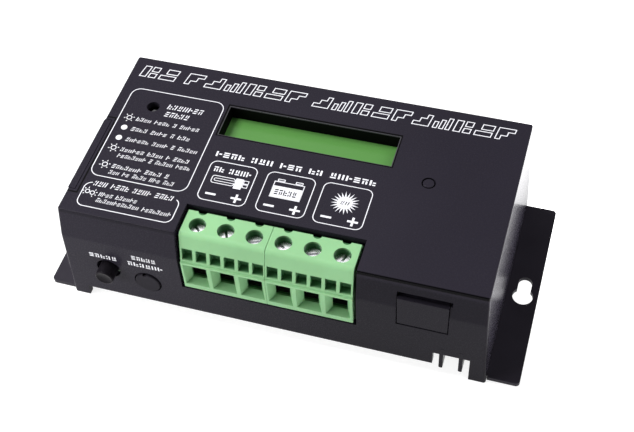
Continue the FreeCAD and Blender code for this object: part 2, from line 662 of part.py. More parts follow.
def status_led():
    """Two-colour 3 mm lamp below its hole."""
    x, y = LED_X, back(LED_BACK)
    dome = Part.makeSphere(LED_R, V(x, y, LED_DOME))
    dome = dome.common(slab(x, y, 4, 4, LED_DOME - 0.01, LED_DOME + 2))
    barrel = rod(LED_R, LED_DOME - LED_FOOT - 1, V(x, y, LED_FOOT + 1))
    return joined([barrel, dome, rod(1.9, 1.0, V(x, y, LED_FOOT))])


def led_spacer():
    return rod(2.1, LED_FOOT - CARRIER_TOP, V(LED_X, back(LED_BACK), CARRIER_TOP))


# ---------------------------------------------------------------- main board
def main_board():
    body = rounded_block(-58.0, 58.0, back(3.2), 31.5, MAIN_Z, MAIN_TOP, 1.0)
    tab = box(-31.0, 30.0, back(1.0), back(3.5), MAIN_Z, MAIN_TOP)
    body = joined([body, tab])
    cuts = [rod(1.35, 4, V(x, y, MAIN_Z - 1)) for x, y in STANDOFFS]
    cuts += [box(x - 1.3, x + 1.3, back(9.3), back(10.3), MAIN_Z - 1, MAIN_TOP + 1) for x in POLE_X]
    return body.cut(cuts)


def board_standoffs():
    """Hexagonal posts between the plate and the main board."""
    posts = []
    for x, y in STANDOFFS:
        turns = [math.radians(60 * i) for i in range(6)]
        corners = [V(x + 3.0 * math.cos(a), y + 3.0 * math.sin(a), PLATE_T) for a in turns]
        posts.append(prism(corners, Z * (MAIN_Z - PLATE_T)).cut(rod(1.25, 7, V(x, y, 3.2))))
    return group(posts)


def thermal_pad():
    return box(-32, 32, -9.5, 12.5, PLATE_T, PLATE_T + PAD_T)


def mosfets():
    """Power transistors lying tab down on the pad, legs bent up to the board."""
    half_w, tab_t, tab_front, body_front, rear = 5.0, 1.3, -9.0, -2.6, 6.5
    leg_w, leg_t, leg_low, leg_rear = 0.8, 0.5, 2.0, 9.5
    hole_r, hole_y = 1.8, -6.2
    z = PLATE_T + PAD_T
    parts = []
    for x in MOSFET_X:
        tab = box(x - half_w, x + half_w, tab_front, rear, z, z + tab_t)
        tab = tab.cut(rod(hole_r, 4, V(x, hole_y, z - 1)))
        body = box(x - half_w, x + half_w, body_front, rear, z, z + MOSFET_T)
        legs = []
        for step in (-LEG_PITCH, 0, LEG_PITCH):
            x0, x1 = x + step - leg_w / 2, x + step + leg_w / 2
            legs.append(box(x0, x1, rear - 0.1, leg_rear, z + leg_low, z + leg_low + leg_t))
            legs.append(box(x0, x1, leg_rear - leg_t, leg_rear, z + leg_low, MAIN_Z))
        parts.append(joined([tab, body] + legs))
    return group(parts)


def mosfet_clamp():
    """Bar that presses the transistors onto the plate."""
    half_w, half_d, thick, y = 40.0, 3.2, 2.2, CLAMP_SCREWS[0][1]
    z = PLATE_T + PAD_T + MOSFET_T
    bar = rounded_block(-half_w, half_w, y - half_d, y + half_d, z, z + thick, 1.0)
    return bar.cut([rod(1.5, 6, V(*place, z - 1)) for place in CLAMP_SCREWS])


def bulk_capacitor(x, y):
    """Electrolytic can with its rolled neck and vent cross."""
    can_r, can_h, neck_z, neck_h, neck_deep = 5.0, 14.0, 1.9, 0.7, 0.3
    vent_l, vent_w, vent_deep = 6.4, 0.3, 0.25
    top = MAIN_TOP + can_h
    neck_foot = V(x, y, MAIN_TOP + neck_z)
    neck = rod(can_r + 1, neck_h, neck_foot).cut(rod(can_r - neck_deep, neck_h, neck_foot))
    can = rounded_rod(can_r, can_h, V(x, y, MAIN_TOP), Z, 0.6).cut(neck)
    for turn in (45, 135):
        vent = slab(0, 0, vent_l, vent_w, top - vent_deep, top + 1)
        vent.rotate(V(0, 0, 0), Z, turn)
        vent.translate(V(x, y, 0))
        can = can.cut(vent)
    return can


def fuse_holder():
    """Open-topped holder of a flat blade fuse."""
    half_w, half_d, height = 11.5, 4.75, 8.0
    well_w, well_d, floor_t = 19.4, 4.1, 2.0
    top = MAIN_TOP + height
    body = rounded_block(FUSE_X - half_w, FUSE_X + half_w, FUSE_Y - half_d, FUSE_Y + half_d,
                         MAIN_TOP, top, 0.6)
    return body.cut(slab(FUSE_X, FUSE_Y, well_w, well_d, MAIN_TOP + floor_t, top + 1))


def blade_fuse():
    """Flat fuse with its two blades down in the holder."""
    half_w, half_d, head_z, head_h = 9.3, 1.75, 5.0, 9.0
    blade_w, blade_t, blade_z, blade_step = 5.2, 0.7, 2.1, 5.9
    z = MAIN_TOP + head_z
    head = rounded_block(FUSE_X - half_w, FUSE_X + half_w, FUSE_Y - half_d, FUSE_Y + half_d,
                         z, z + head_h, 0.5)
    blades = [slab(FUSE_X + step, FUSE_Y, blade_w, blade_t, MAIN_TOP + blade_z, z + 0.5)
              for step in (-blade_step, blade_step)]
    return joined([head] + blades)


def current_shunt():
    """Bridge of flat strip that carries the load current."""
    x0, x1, y0, y1, height, strip_t = 8.0, 28.0, -16.0, -11.0, 6.0, 1.2
    top = MAIN_TOP + height
    under = box(x0 + strip_t, x1 - strip_t, y0 - 1, y1 + 1, MAIN_TOP - 1, top - strip_t)
    return box(x0, x1, y0, y1, MAIN_TOP, top).cut(under)


def microcontroller():
    """Chip with two rows of legs and its index notch."""
    x0, x1, y0, y1, lift, height = -6.0, 28.0, -4.0, 3.2, 0.6, 4.0
    legs_a_side, pitch, first, leg_w, leg_t, leg_h = 14, 2.35, 1.6, 0.6, 0.7, 2.4
    z = MAIN_TOP
    chip = box(x0, x1, y0, y1, z + lift, z + height)
    notch = rod(1.0, 2, V(x0, (y0 + y1) / 2, z + height - 0.8))
    legs = []
    for i in range(legs_a_side):
        x = x0 + first + pitch * i
        for y in (y0 - 0.6, y1 - 0.1):
            legs.append(box(x - leg_w / 2, x + leg_w / 2, y, y + leg_t, z, z + leg_h))
    return joined([chip.cut(notch)] + legs)


def crystal():
    return rounded_block(32.0, 42.5, -2.4, 1.6, MAIN_TOP, MAIN_TOP + 3.5, 1.9)


def voltage_regulator():
    """Small power package soldered flat, its tab to the back."""
    x, y0, y1, body_w, tab_w, leg_step = -42.7, 2.0, 8.0, 6.6, 5.4, 2.3
    z = MAIN_TOP
    body = box(x - body_w / 2, x + body_w / 2, y0, y1, z + 0.1, z + 2.4)
    tab = box(x - tab_w / 2, x + tab_w / 2, y1 - 1, y1 + 1.4, z, z + 0.6)
    legs = [box(x + step - 0.4, x + step + 0.4, y0 - 2.2, y0 + 0.1, z, z + 0.9)
            for step in (-leg_step, leg_step)]
    return joined([body, tab] + legs)


def surge_absorbers():
    """Upright discs on two legs."""
    disc_r, disc_t, front, lift, leg_step = 5.0, 4.0, -15.0, 6.0, 2.5
    discs = []
    for x in ABSORBER_X:
        disc = rounded_rod(disc_r, disc_t, V(x, front, MAIN_TOP + lift), Y, 1.2)
        legs = [slab(x + step, front + disc_t / 2 - 0.05, 0.7, 0.7, MAIN_TOP, MAIN_TOP + 3.0)
                for step in (-leg_step, leg_step)]
        discs.append(joined([disc] + legs))
    return group(discs)


def power_diodes():
    """Barrel diodes with a raised band at one end and bent leads."""
    body_r, front, rear, lift, lead_l, lead_w, foot_l = 2.6, -20.0, -11.0, 3.0, 2.5, 1.0, 0.8
    z = MAIN_TOP + lift
    diodes = []
    for x in DIODE_X:
        body = rod(body_r, rear - front, V(x, front, z), Y)
        band = rod(body_r + 0.1, 1.4, V(x, rear - 2.6, z), Y)
        leads = []
        for y0, y1, foot in ((front - lead_l, front + 0.1, front - lead_l),
                             (rear - 0.1, rear + lead_l, rear + lead_l - foot_l)):
            leads.append(box(x - lead_w / 2, x + lead_w / 2, y0, y1, z - 0.5, z + 0.5))
            leads.append(box(x - lead_w / 2, x + lead_w / 2, foot, foot + foot_l, MAIN_TOP, z))
        diodes.append(joined([body, band] + leads))
    return group(diodes)


def board_connector():
    """Tall pin strip from the main board up to the display carrier."""
    return rounded_block(-22.0, 22.0, 22.0, 27.2, MAIN_TOP, CARRIER_Z, 0.6)


# ---------------------------------------------------------------- write the nodes
def all_nodes():
    nodes = {
        "top_cover": top_cover(),
        "base_plate": base_plate(),
        "front_port_blank": front_blank(),
        "side_port_blank": side_blank(),
        "cover_screws": countersunk_screws(BOSSES, 11.0, 1.45),
        "terminal_block_left": terminal_block(0),
        "terminal_block_right": terminal_block(BLOCK_POLES),
        "terminal_pins": terminal_pins(),
        "reset_button": reset_button(),
        "reset_plunger": reset_plunger(),
        "reset_switch": reset_switch(),
        "sensor_plug": sensor_plug(),
        "sensor_jack": sensor_jack(),
        "display_button": display_button(),
        "display_switch": display_switch(),
        "display_switch_plunger": display_switch_plunger(),
        "lcd_bezel": lcd_bezel(),
        "lcd_glass": lcd_glass(),
        "lcd_backlight": lcd_backlight(),
        "lcd_board": lcd_board(),
        "lcd_header": lcd_header(),
        "lcd_screws": pan_screws(LCD_POSTS, LCD_BOARD_Z, -1, 1.9, 1.3, 1.0, 4.6),
        "carrier_board": carrier_board(),
        "carrier_screws": pan_screws(CARRIER_POSTS, CARRIER_Z, -1, 2.4, 1.6, 1.2, 6.2),
        "status_led": status_led(),
        "led_spacer": led_spacer(),
        "main_board": main_board(),
        "board_standoffs": board_standoffs(),
        "board_screws": pan_screws(STANDOFFS, MAIN_TOP, 1, 2.6, 1.8, 1.2, 6.6),
        "thermal_pad": thermal_pad(),
        "mosfets": mosfets(),
        "mosfet_clamp": mosfet_clamp(),
        "clamp_screws": countersunk_screws(CLAMP_SCREWS, 8.2, 1.45),
        "bulk_capacitor_1": bulk_capacitor(-30.0, 8.0),
        "bulk_capacitor_2": bulk_capacitor(-18.0, 8.0),
        "fuse_holder": fuse_holder(),
        "blade_fuse": blade_fuse(),
        "current_shunt": current_shunt(),
        "microcontroller": microcontroller(),
        "crystal": crystal(),
        "voltage_regulator": voltage_regulator(),
        "surge_absorbers": surge_absorbers(),
        "power_diodes": power_diodes(),
        "board_connector": board_connector(),
    }
    for i, (x, angle) in enumerate(zip(POLE_X, SLOT_ANGLES), 1):
        nodes[f"terminal_screw_{i}"] = terminal_screw(x, angle)
        nodes[f"clamp_cage_{i}"] = clamp_cage(x)
    return nodes


os.makedirs("parts", exist_ok=True)
for name, shape in all_nodes().items():
    if not shape.isValid() or shape.Volume <= 0:
        raise ValueError(f"{name} is not a valid solid")
    shape.exportStep(f"parts/{name}.step")
    print(f"{name:24s} solids {len(shape.Solids):2d}  volume {shape.Volume:10.1f} mm3")
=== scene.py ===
import json
import math

import bmesh
import bpy
from mathutils import Matrix, Vector


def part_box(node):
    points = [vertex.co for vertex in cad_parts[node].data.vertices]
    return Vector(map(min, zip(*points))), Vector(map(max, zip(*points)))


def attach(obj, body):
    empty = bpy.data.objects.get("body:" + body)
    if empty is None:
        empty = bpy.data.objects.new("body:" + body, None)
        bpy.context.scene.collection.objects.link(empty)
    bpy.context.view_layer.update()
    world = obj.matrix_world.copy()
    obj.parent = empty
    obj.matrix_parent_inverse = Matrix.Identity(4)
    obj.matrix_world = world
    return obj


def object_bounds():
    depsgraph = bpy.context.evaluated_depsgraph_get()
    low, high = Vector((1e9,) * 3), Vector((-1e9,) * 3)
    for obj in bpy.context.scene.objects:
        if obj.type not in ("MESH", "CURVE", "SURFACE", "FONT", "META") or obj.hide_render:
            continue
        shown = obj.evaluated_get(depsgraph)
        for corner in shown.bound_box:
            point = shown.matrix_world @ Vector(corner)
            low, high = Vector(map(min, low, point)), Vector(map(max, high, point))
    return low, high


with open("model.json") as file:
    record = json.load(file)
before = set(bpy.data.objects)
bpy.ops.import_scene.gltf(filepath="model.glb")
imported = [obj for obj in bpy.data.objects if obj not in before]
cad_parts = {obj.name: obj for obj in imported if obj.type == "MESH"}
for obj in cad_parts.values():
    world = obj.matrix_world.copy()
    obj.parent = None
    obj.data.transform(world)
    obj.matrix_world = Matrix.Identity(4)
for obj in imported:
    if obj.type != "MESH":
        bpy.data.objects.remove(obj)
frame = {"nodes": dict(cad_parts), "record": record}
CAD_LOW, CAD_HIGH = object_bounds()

# Looks of a solar charge controller: surfaces, white print, small mesh details, light and camera.
# Lengths of the print and details are written in millimetres and turned to metres by MM.
MM = 0.001

COVER_LOW, COVER_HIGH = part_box("top_cover")
TOP_Z = COVER_HIGH.z                      # top face
KNEE_Z = 31.2                             # the front wall rises to its knee, then leans back
FRONT_DRAFT = 0.6                         # how much further out the foot of the wall stands
KNEE_OUT = 2.0                            # from the knee back to the front top edge
FRONT_Y = COVER_LOW.y + (FRONT_DRAFT + KNEE_OUT) * MM     # front top edge

# ---------------------------------------------------------------- camera and light, lights in metres
CAMERA_FROM = (88.4, -236.0, 329.3)
HEADING = -22.47                          # degrees from +Y, towards +X
TILT = 51.26                              # degrees below the horizon
ROLL = 6.42
LENS = 66.57
SHIFT = (0.0608, 0.0087)

WORLD_GLOW = 0.16
AIM = Vector((0.0, 0.0, 0.02))            # all lights point here
LIGHTS = (                                # name, place, size, power
    ("key", (-0.58, 0.08, 0.96), (0.5, 0.5), 16.0),
    ("right_fill", (0.50, 0.30, 0.70), (0.4, 0.4), 3.2),
    ("front_fill", (-0.27, -0.20, 0.12), (0.2, 0.15), 0.9),
    ("back_panel", (-0.27, 0.53, 0.82), (0.35, 0.35), 0.6),
)
FLOOR_REACH = 3.0
FLOOR_UNDER = 0.0002                      # keeps the floor clear of the base plate
FLOOR_GREY = 0.35
GLOW_AXIS = (1.0, 0.3, 0.0)               # the floor glows more along this, and lights the right wall
GLOW_START, GLOW_END = 0.07, 0.13
GLOW_LEFT, GLOW_RIGHT = 0.85, 6.5


def make_camera():
    data = bpy.data.cameras.new("camera")
    data.lens = LENS
    data.sensor_width = 36.0
    data.shift_x, data.shift_y = SHIFT
    data.clip_start, data.clip_end = 0.01, 20.0
    camera = bpy.data.objects.new("camera", data)
    heading, tilt = math.radians(HEADING), math.radians(TILT)
    level_x, level_y = math.sin(heading) * math.cos(tilt), math.cos(heading) * math.cos(tilt)
    ahead = Vector((level_x, level_y, -math.sin(tilt)))
    unrolled = ahead.cross(Vector((0, 0, 1))).normalized()
    right = Matrix.Rotation(math.radians(ROLL), 3, ahead) @ unrolled
    up = right.cross(ahead)
    turn = Matrix((right, up, -ahead)).transposed()
    camera.matrix_world = Matrix.Translation(Vector(CAMERA_FROM) * MM) @ turn.to_4x4()
    bpy.context.scene.collection.objects.link(camera)
    bpy.context.scene.camera = camera


def soft_light(name, place, size, power):
    data = bpy.data.lights.new(name, "AREA")
    data.shape = "RECTANGLE"
    data.size, data.size_y = size
    data.energy = power
    lamp = bpy.data.objects.new(name, data)
    lamp.location = place
    lamp.rotation_euler = (AIM - Vector(place)).to_track_quat("-Z", "Y").to_euler()
    bpy.context.scene.collection.objects.link(lamp)


def make_studio():
    scene = bpy.context.scene
    scene.view_settings.view_transform = "Standard"
    world = bpy.data.worlds.new("studio")
    scene.world = world
    world.use_nodes = True
    shade = world.node_tree.nodes["Background"]
    shade.inputs["Color"].default_value = (1.0, 1.0, 1.0, 1.0)
    shade.inputs["Strength"].default_value = WORLD_GLOW
    for light in LIGHTS:
        soft_light(*light)
    make_floor()


def make_floor():
    mesh = bpy.data.meshes.new("floor")
    sides = ((-1, -1), (1, -1), (1, 1), (-1, 1))
    corners = [(x * FLOOR_REACH, y * FLOOR_REACH, CAD_LOW.z - FLOOR_UNDER) for x, y in sides]
    mesh.from_pydata(corners, [], [(0, 1, 2, 3)])
    floor = bpy.data.objects.new("floor", mesh)
    bpy.context.scene.collection.objects.link(floor)
    mesh.materials.append(floor_white())


def floor_white():
    """White floor with a glow of its own, brighter to the right of the case."""
    material, nodes, links, shader = new_material("floor_white")
    shader.inputs["Base Color"].default_value = (FLOOR_GREY, FLOOR_GREY, FLOOR_GREY, 1.0)
    shader.inputs["Roughness"].default_value = 0.8
    shader.inputs["Specular IOR Level"].default_value = 0.1
    shader.inputs["Emission Color"].default_value = (1.0, 1.0, 1.0, 1.0)
    along = nodes.new("ShaderNodeVectorMath")
    along.operation = "DOT_PRODUCT"
    along.inputs[1].default_value = GLOW_AXIS
    links.new(nodes.new("ShaderNodeTexCoord").outputs["Object"], along.inputs[0])
    glow = smooth_step(nodes, links, along.outputs["Value"], GLOW_START, GLOW_END, GLOW_LEFT, GLOW_RIGHT)
    links.new(glow, shader.inputs["Emission Strength"])
    return material


# ---------------------------------------------------------------- materials
NOISE_LOW, NOISE_HIGH = 0.3, 0.7          # nearly all of a noise's values lie between these


def new_material(name):
    material = bpy.data.materials.new(name)
    material.use_nodes = True
    nodes, links = material.node_tree.nodes, material.node_tree.links
    return material, nodes, links, nodes["Principled BSDF"]


def noise(nodes, links, coords, scale, detail=3.0):
    texture = nodes.new("ShaderNodeTexNoise")
    texture.inputs["Scale"].default_value = scale
    texture.inputs["Detail"].default_value = detail
    links.new(coords, texture.inputs["Vector"])
    return texture.outputs["Fac"]


def spread(nodes, links, value, low, high):
    """A noise's values spread over the range from low to high."""
    span = nodes.new("ShaderNodeMapRange")
    span.inputs["From Min"].default_value = NOISE_LOW
    span.inputs["From Max"].default_value = NOISE_HIGH
    span.inputs["To Min"].default_value = low
    span.inputs["To Max"].default_value = high
    links.new(value, span.inputs["Value"])
    return span.outputs["Result"]


def two_tones(nodes, links, value, dark, light):
    ramp = nodes.new("ShaderNodeValToRGB")
    ramp.color_ramp.elements[0].position = NOISE_LOW
    ramp.color_ramp.elements[0].color = (*dark, 1.0)
    ramp.color_ramp.elements[1].position = NOISE_HIGH
    ramp.color_ramp.elements[1].color = (*light, 1.0)
    links.new(value, ramp.inputs["Fac"])
    return ramp.outputs["Color"]


def bump(nodes, links, value, depth):
    relief = nodes.new("ShaderNodeBump")
    relief.inputs["Distance"].default_value = depth
    links.new(value, relief.inputs["Height"])
    return relief.outputs["Normal"]


def surface(name, colour, roughness, metallic=0.0, tone=0.12, tone_scale=60.0, rough_spread=0.05,
            grain_scale=1800.0, grain_depth=0.00002, stretch=(1.0, 1.0, 1.0), **settings):
    """A material with slight tone and gloss variation and a fine grain, all in metres."""
    material, nodes, links, shader = new_material(name)
    place = nodes.new("ShaderNodeTexCoord").outputs["Object"]
    grain_place = place
    if stretch != (1.0, 1.0, 1.0):
        mapping = nodes.new("ShaderNodeMapping")
        mapping.inputs["Scale"].default_value = stretch
        links.new(place, mapping.inputs["Vector"])
        grain_place = mapping.outputs["Vector"]
    clouds = noise(nodes, links, place, tone_scale)
    dark = [c * (1.0 - tone) for c in colour]
    light = [min(1.0, c * (1.0 + tone)) for c in colour]
    links.new(two_tones(nodes, links, clouds, dark, light), shader.inputs["Base Color"])
    fine = noise(nodes, links, grain_place, grain_scale, 4.0)
    gloss = spread(nodes, links, fine, roughness - rough_spread, roughness + rough_spread)
    links.new(gloss, shader.inputs["Roughness"])
    links.new(bump(nodes, links, fine, grain_depth), shader.inputs["Normal"])
    shader.inputs["Metallic"].default_value = metallic
    for socket, value in settings.items():
        shader.inputs[socket.replace("_", " ")].default_value = value
    return material


def smooth_step(nodes, links, value, low, high, at_low=0.0, at_high=1.0):
    """Runs smoothly from at_low to at_high as the value runs from low to high."""
    span = nodes.new("ShaderNodeMapRange")
    span.interpolation_type = "SMOOTHSTEP"
    span.inputs["From Min"].default_value = low
    span.inputs["From Max"].default_value = high
    span.inputs["To Min"].default_value = at_low
    span.inputs["To Max"].default_value = at_high
    links.new(value, span.inputs["Value"])
    return span.outputs["Result"]


def number(nodes, value):
    node = nodes.new("ShaderNodeValue")
    node.outputs["Value"].default_value = value
    return node.outputs["Value"]


def combine(nodes, links, operation, first, second):
    """Two values put together by an operation of the math node."""
    maths = nodes.new("ShaderNodeMath")
    maths.operation = operation
    links.new(first, maths.inputs[0])
    links.new(second, maths.inputs[1])
    return maths.outputs["Value"]


def solder_board(name):
    """Green solder mask with copper tracks faintly raised under it."""
    material, nodes, links, shader = new_material(name)
    place = nodes.new("ShaderNodeTexCoord").outputs["Object"]
    tracks = nodes.new("ShaderNodeTexBrick")
    tracks.inputs["Scale"].default_value = 260.0
    tracks.inputs["Mortar Size"].default_value = 0.035
    tracks.inputs["Color1"].default_value = (0.010, 0.085, 0.030, 1.0)
    tracks.inputs["Color2"].default_value = (0.012, 0.105, 0.038, 1.0)
    tracks.inputs["Mortar"].default_value = (0.030, 0.200, 0.070, 1.0)
    links.new(place, tracks.inputs["Vector"])
    links.new(tracks.outputs["Color"], shader.inputs["Base Color"])
    links.new(bump(nodes, links, tracks.outputs["Fac"], 0.00004), shader.inputs["Normal"])
    shader.inputs["Roughness"].default_value = 0.32
    return material


def display_glass(name, colour, low, high):
    """Display of one row, with painted light and shade: a little brighter towards its front edge, and a
    painted shadow of the well's back wall under its back edge.
    """
    # painted light towards the front edge, painted shade towards the back edge
    front_light_tone, back_shade_tone = 1.05, 0.90
    cell_relief = 5e-7
    material, nodes, links, shader = new_material(name)
    place = nodes.new("ShaderNodeTexCoord").outputs["Object"]
    parts = nodes.new("ShaderNodeSeparateXYZ")
    links.new(place, parts.inputs["Vector"])
    across = nodes.new("ShaderNodeMapRange")
    across.inputs["From Min"].default_value = low
    across.inputs["From Max"].default_value = high
    links.new(parts.outputs["Y"], across.inputs["Value"])
    shades = nodes.new("ShaderNodeValToRGB")
    shades.color_ramp.elements[0].color = (*[c * front_light_tone for c in colour], 1.0)
    shades.color_ramp.elements[1].color = (*[c * back_shade_tone for c in colour], 1.0)
    links.new(across.outputs["Result"], shades.inputs["Fac"])
    links.new(shades.outputs["Color"], shader.inputs["Base Color"])
    cells = nodes.new("ShaderNodeTexChecker")
    cells.inputs["Scale"].default_value = 1400.0
    links.new(place, cells.inputs["Vector"])
    links.new(bump(nodes, links, cells.outputs["Fac"], cell_relief), shader.inputs["Normal"])
    shader.inputs["Roughness"].default_value = 0.22
    shader.inputs["Specular IOR Level"].default_value = 0.15
    return material


def make_materials():
    glass_low, glass_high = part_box("lcd_glass")
    return {
        "case_plastic": surface("case_plastic", (0.0182, 0.0161, 0.0233), 0.26, tone=0.05,
                                tone_scale=25.0, grain_scale=2600.0, grain_depth=0.000004,
                                Specular_IOR_Level=0.05),
        "base_metal": surface("base_metal", (0.0205, 0.0178, 0.0255), 0.36, grain_scale=1500.0,
                              grain_depth=0.00002, Specular_IOR_Level=0.08),
        "terminal_green": surface("terminal_green", (0.214, 0.418, 0.210), 0.40, tone=0.05,
                                  grain_depth=0.000008, Specular_IOR_Level=0.12, Subsurface_Weight=0.04,
                                  Subsurface_Scale=0.0015),
        "screw_steel": surface("screw_steel", (0.72, 0.72, 0.74), 0.24, metallic=1.0, tone=0.08,
                               tone_scale=900.0, grain_scale=3500.0, grain_depth=0.00001),
        "cage_metal": surface("cage_metal", (0.060, 0.055, 0.060), 0.40, metallic=0.8, tone=0.10,
                              tone_scale=700.0),
        "pin_metal": surface("pin_metal", (0.70, 0.64, 0.50), 0.28, metallic=1.0, tone_scale=500.0),
        "key_plastic": surface("key_plastic", (0.0080, 0.0068, 0.0090), 0.30, tone=0.05,
                               grain_depth=0.000004, Specular_IOR_Level=0.04),
        "plug_rubber": surface("plug_rubber", (0.0140, 0.0124, 0.0170), 0.50, grain_scale=2200.0,
                               grain_depth=0.00002, Specular_IOR_Level=0.05),
        "lcd_green": display_glass("lcd_green", (0.080, 0.222, 0.052), glass_low.y, glass_high.y),
        "rim_plastic": surface("rim_plastic", (0.045, 0.041, 0.051), 0.30, tone=0.05),
        "bezel_black": surface("bezel_black", (0.0018, 0.0018, 0.0020), 0.60, Specular_IOR_Level=0.05),
        "backlight_white": surface("backlight_white", (0.70, 0.76, 0.62), 0.35),
        "board_green": solder_board("board_green"),
        "component_black": surface("component_black", (0.016, 0.016, 0.018), 0.55,
                                   grain_scale=3000.0, grain_depth=0.00003),
        "lamp_lens": surface("lamp_lens", (0.12, 0.12, 0.125), 0.08, tone=0.08, tone_scale=700.0,
                             rough_spread=0.02, grain_depth=0.000002, Transmission_Weight=0.3),
        "can_sleeve": surface("can_sleeve", (0.012, 0.020, 0.075), 0.22, grain_depth=0.000005),
        "aluminium": surface("aluminium", (0.74, 0.75, 0.77), 0.36, metallic=1.0,
                             stretch=(0.05, 1.0, 1.0)),
        "pad_grey": surface("pad_grey", (0.32, 0.34, 0.37), 0.75),
        "fuse_yellow": surface("fuse_yellow", (0.80, 0.52, 0.03), 0.20, Transmission_Weight=0.35),
        "absorber_blue": surface("absorber_blue", (0.030, 0.105, 0.36), 0.30),
        "print_ink": surface("print_ink", (0.70, 0.70, 0.74), 0.55, tone=0.04, tone_scale=500.0),
    }


# Places with painted shade, darker than the rest, in millimetres. A pair is where a smooth step starts and
# ends.
EDGE_BEHIND = (0.15, 0.45)                # the edge's line of painted shade, behind the front top edge
EDGE_BELOW = (1.5, 0.9)                   # and below the top face
EDGE_ACROSS = (-34, 28)                   # it grows from left to right
EDGE_AT_LEFT = 0.35
EDGE_SHADE_STRENGTH = 0.92
WALL_AHEAD = (0.5, 0.2)                   # painted shade on the front wall, in front of the front top edge
WALL_ACROSS = (-60, 40)
WALL_SHADE_STRENGTH = 0.45
ROW_LEAN = 0.2112                         # slope of the terminal row's upper front face
ROW_FACE = 0.85                           # where that face meets the row's top
POCKET_DEPTH = (0.10, 0.80)               # painted shade inside the small windows, behind that face
POCKET_FOOT, POCKET_HEAD = (30.9, 31.1), (36.0, 36.2)
HOLE_BELOW = (1.2, 0.2)                   # painted shade inside the screw holes, below the row's top
HOLE_BEHIND = (2.2, 2.5)
POCKET_SHADE_STRENGTH = 0.75
# colour of the painted shade in the pockets and holes
POCKET_SHADE_GREEN = (0.010, 0.095, 0.026)


def paint_shade(material, make_mask, strength, shade=(0.0, 0.0, 0.0)):
    """Paints shade into the material: turns its colour towards the shade colour where the mask of the
    frame's x, y and z is 1.
    """
    nodes, links = material.node_tree.nodes, material.node_tree.links
    shader = nodes["Principled BSDF"]
    parts = nodes.new("ShaderNodeSeparateXYZ")
    links.new(nodes.new("ShaderNodeTexCoord").outputs["Object"], parts.inputs["Vector"])
    mask = make_mask(nodes, links, parts.outputs["X"], parts.outputs["Y"], parts.outputs["Z"])
    mix = nodes.new("ShaderNodeMix")
    mix.data_type = "RGBA"
    plain, shaded = [socket for socket in mix.inputs if socket.name in "AB" and socket.type == "RGBA"]
    result = [socket for socket in mix.outputs if socket.type == "RGBA"][0]
    shaded.default_value = (*shade, 1.0)
    links.new(combine(nodes, links, "MULTIPLY", mask, number(nodes, strength)), mix.inputs["Factor"])
    links.new(shader.inputs["Base Color"].links[0].from_socket, plain)
    links.new(result, shader.inputs["Base Color"])


def front_edge_shade_mask(nodes, links, x, y, z):
    """Painted shade on the rounded edge between the top face and the leaning front, faint left of the
    terminals.
    """
    ahead = smooth_step(nodes, links, y, *[FRONT_Y + d * MM for d in EDGE_BEHIND], 1.0, 0.0)
    high = smooth_step(nodes, links, z, *[TOP_Z - d * MM for d in EDGE_BELOW])
    right = smooth_step(nodes, links, x, *[d * MM for d in EDGE_ACROSS], EDGE_AT_LEFT, 1.0)
    return combine(nodes, links, "MULTIPLY", combine(nodes, links, "MULTIPLY", ahead, high), right)


def front_wall_shade_mask(nodes, links, x, y, z):
    """Painted shade on the front wall, more so towards its right end."""
    wall = smooth_step(nodes, links, y, *[FRONT_Y - d * MM for d in WALL_AHEAD], 1.0, 0.0)
    right = smooth_step(nodes, links, x, *[d * MM for d in WALL_ACROSS])
    return combine(nodes, links, "MULTIPLY", wall, right)


def pocket_shade_mask(nodes, links, x, y, z):
    """Painted shade inside the small windows of the terminal row's sloping face, and inside its screw
    holes.
    """
    row_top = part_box("terminal_block_left")[1].z
    face = FRONT_Y + ROW_FACE * MM - ROW_LEAN * row_top
    sunk = combine(nodes, links, "MULTIPLY", z, number(nodes, -ROW_LEAN))
    behind = combine(nodes, links, "ADD", y, sunk)
    inside = smooth_step(nodes, links, behind, *[face + d * MM for d in POCKET_DEPTH])
    over = smooth_step(nodes, links, z, *[d * MM for d in POCKET_FOOT])
    under = smooth_step(nodes, links, z, *[d * MM for d in POCKET_HEAD], 1.0, 0.0)
    level = combine(nodes, links, "MULTIPLY", over, under)
    windows = combine(nodes, links, "MULTIPLY", inside, level)
    below = smooth_step(nodes, links, z, *[row_top - d * MM for d in HOLE_BELOW], 1.0, 0.0)
    back = smooth_step(nodes, links, y, *[FRONT_Y + d * MM for d in HOLE_BEHIND])
    holes = combine(nodes, links, "MULTIPLY", below, back)
    return combine(nodes, links, "MAXIMUM", windows, holes)


# Painted shade on the case and in the terminal row's hollows
def paint_shade_places(materials):
    # painted shade along the front top edge
    paint_shade(materials["case_plastic"], front_edge_shade_mask, EDGE_SHADE_STRENGTH)
    # painted shade on the front wall, darker towards its right end
    paint_shade(materials["case_plastic"], front_wall_shade_mask, WALL_SHADE_STRENGTH)
    # painted shade in the terminal row's small windows and screw holes
    paint_shade(materials["terminal_green"], pocket_shade_mask, POCKET_SHADE_STRENGTH, POCKET_SHADE_GREEN)


def dress_frame(materials):
    """Each CAD node takes the material of its slot."""
    for part in frame["record"]["subparts"]:
        mesh = frame["nodes"][part["node"]].data
        mesh.materials.clear()
        mesh.materials.append(materials[part["material_slot"]])


# ---------------------------------------------------------------- printed graphics
INK_SUNK = 0.02 * MM                      # how far the ink reaches into the surface
INK_PROUD = 0.03 * MM
LINE_W = 0.28                             # width of the printed lines
TEXT_LEAN = 0.22                          # slant of the small marks


